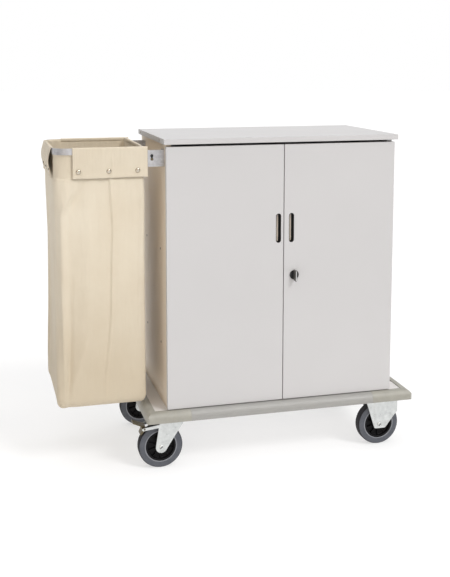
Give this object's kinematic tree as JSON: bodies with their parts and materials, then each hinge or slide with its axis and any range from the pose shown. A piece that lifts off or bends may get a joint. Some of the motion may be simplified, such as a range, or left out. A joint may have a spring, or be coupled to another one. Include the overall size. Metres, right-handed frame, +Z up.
{
  "type": "housekeeping cart",
  "caption": "Two-door housekeeping cabinet cart with bumper-edged base, casters, a turn-knob lock and a canvas laundry bag hung on a flat-bar frame at one end.",
  "frame": {"origin": "on the floor, under the middle of the whole cart's footprint", "axes": "+X along the cart from the bag end to the cabinet end, +Y from the doors to the back, +Z up"},
  "size_m": [1.318, 0.55, 1.179],
  "materials": {
    "board_laminate": "light grey matt laminate on board",
    "deck_laminate": "light grey laminate on board",
    "bumper_rail": "grey extruded profile, satin",
    "bumper_corner": "warm grey moulded corner, fine grain",
    "galvanised_steel": "galvanised, slightly mottled",
    "zinc_steel": "bright zinc plated",
    "pedal_steel": "bronze-coloured passivated zinc",
    "tyre_rubber": "grey non-marking rubber",
    "hub_plastic": "black moulded wheel centre",
    "black_plastic": "black moulded, satin",
    "bag_canvas": "cream woven canvas"
  },
  "bodies": {
    "cabinet": {"axle_right_front": "zinc_steel", "axle_right_rear": "zinc_steel", "bag_bracket_back": "galvanised_steel", "bag_bracket_front": "galvanised_steel", "base_deck": "deck_laminate", "bumper_corner_back_left": "bumper_corner", "bumper_corner_back_right": "bumper_corner", "bumper_corner_front_left": "bumper_corner", "bumper_corner_front_right": "bumper_corner", "bumper_rail_back": "bumper_rail", "bumper_rail_front": "bumper_rail", "bumper_rail_left": "bumper_rail", "bumper_rail_right": "bumper_rail", "cabinet_back": "board_laminate", "cabinet_floor": "board_laminate", "cabinet_side_left": "board_laminate", "cabinet_side_right": "board_laminate", "cabinet_top": "board_laminate", "caster_plate_left_front": "zinc_steel", "caster_plate_left_rear": "zinc_steel", "fixed_fork_right_front": "zinc_steel", "fixed_fork_right_rear": "zinc_steel", "hinge_arm_left_lower": "zinc_steel", "hinge_arm_left_upper": "zinc_steel", "hinge_arm_right_lower": "zinc_steel", "hinge_arm_right_upper": "zinc_steel", "kingpin_left_front": "zinc_steel", "kingpin_left_rear": "zinc_steel", "shelf_lower": "board_laminate", "shelf_upper": "board_laminate", "swivel_race_left_front": "zinc_steel", "swivel_race_left_rear": "zinc_steel"},
    "door_left": {"door_left": "board_laminate", "pull_cup_left": "black_plastic", "hinge_cup_left_lower": "zinc_steel", "hinge_cup_left_upper": "zinc_steel", "lock_keeper": "zinc_steel"},
    "door_right": {"door_right": "board_laminate", "pull_cup_right": "black_plastic", "hinge_cup_right_lower": "zinc_steel", "hinge_cup_right_upper": "zinc_steel", "lock_housing": "black_plastic"},
    "lock_turn": {"lock_knob": "black_plastic", "lock_cam": "zinc_steel"},
    "bag_unit": {"bag_frame": "galvanised_steel", "bag": "bag_canvas"},
    "swivel_left_front": {"swivel_fork_left_front": "zinc_steel", "axle_left_front": "zinc_steel"},
    "wheel_left_front": {"hub_left_front": "hub_plastic", "tyre_left_front": "tyre_rubber"},
    "pedal_left_front": {"brake_pedal_left_front": "pedal_steel"},
    "swivel_left_rear": {"swivel_fork_left_rear": "zinc_steel", "axle_left_rear": "zinc_steel"},
    "wheel_left_rear": {"hub_left_rear": "hub_plastic", "tyre_left_rear": "tyre_rubber"},
    "pedal_left_rear": {"brake_pedal_left_rear": "pedal_steel"},
    "wheel_right_front": {"hub_right_front": "hub_plastic", "tyre_right_front": "tyre_rubber"},
    "wheel_right_rear": {"hub_right_rear": "hub_plastic", "tyre_right_rear": "tyre_rubber"}
  },
  "joints": [
    {"name": "door_left_hinge", "type": "hinge", "parent": "cabinet", "child": "door_left", "pos_m": [-0.274, -0.2475, 0.685], "axis": [0, 0, -1], "range_deg": [0, 110]},
    {"name": "door_right_hinge", "type": "hinge", "parent": "cabinet", "child": "door_right", "pos_m": [0.576, -0.2475, 0.685], "axis": [0, 0, 1], "range_deg": [0, 110]},
    {"name": "lock_knob_turn", "type": "hinge", "parent": "door_right", "child": "lock_turn", "pos_m": [0.1925, -0.2475, 0.68], "axis": [0, 1, 0], "range_deg": [0, 90]},
    {"name": "bag_frame_lift", "type": "slide", "parent": "cabinet", "child": "bag_unit", "axis": [0, 0, 1], "range_m": [0, 0.012]},
    {"name": "left_front_swivel", "type": "hinge", "parent": "cabinet", "child": "swivel_left_front", "pos_m": [-0.254, -0.209, 0.1765], "axis": [0, 0, 1], "continuous": true},
    {"name": "left_front_wheel_spin", "type": "hinge", "parent": "swivel_left_front", "child": "wheel_left_front", "pos_m": [-0.2962, -0.209, 0.08], "axis": [0, 1, 0], "continuous": true},
    {"name": "left_front_brake_pedal", "type": "hinge", "parent": "swivel_left_front", "child": "pedal_left_front", "pos_m": [-0.3562, -0.209, 0.1515], "axis": [0, -1, 0], "range_deg": [0, 8]},
    {"name": "left_rear_swivel", "type": "hinge", "parent": "cabinet", "child": "swivel_left_rear", "pos_m": [-0.254, 0.209, 0.1765], "axis": [0, 0, 1], "continuous": true},
    {"name": "left_rear_wheel_spin", "type": "hinge", "parent": "swivel_left_rear", "child": "wheel_left_rear", "pos_m": [-0.2962, 0.209, 0.08], "axis": [0, 1, 0], "continuous": true},
    {"name": "left_rear_brake_pedal", "type": "hinge", "parent": "swivel_left_rear", "child": "pedal_left_rear", "pos_m": [-0.3562, 0.209, 0.1515], "axis": [0, -1, 0], "range_deg": [0, 8]},
    {"name": "right_front_wheel_spin", "type": "hinge", "parent": "cabinet", "child": "wheel_right_front", "pos_m": [0.5424, -0.209, 0.08], "axis": [0, 1, 0], "continuous": true},
    {"name": "right_rear_wheel_spin", "type": "hinge", "parent": "cabinet", "child": "wheel_right_rear", "pos_m": [0.5424, 0.209, 0.08], "axis": [0, 1, 0], "continuous": true}
  ]
}
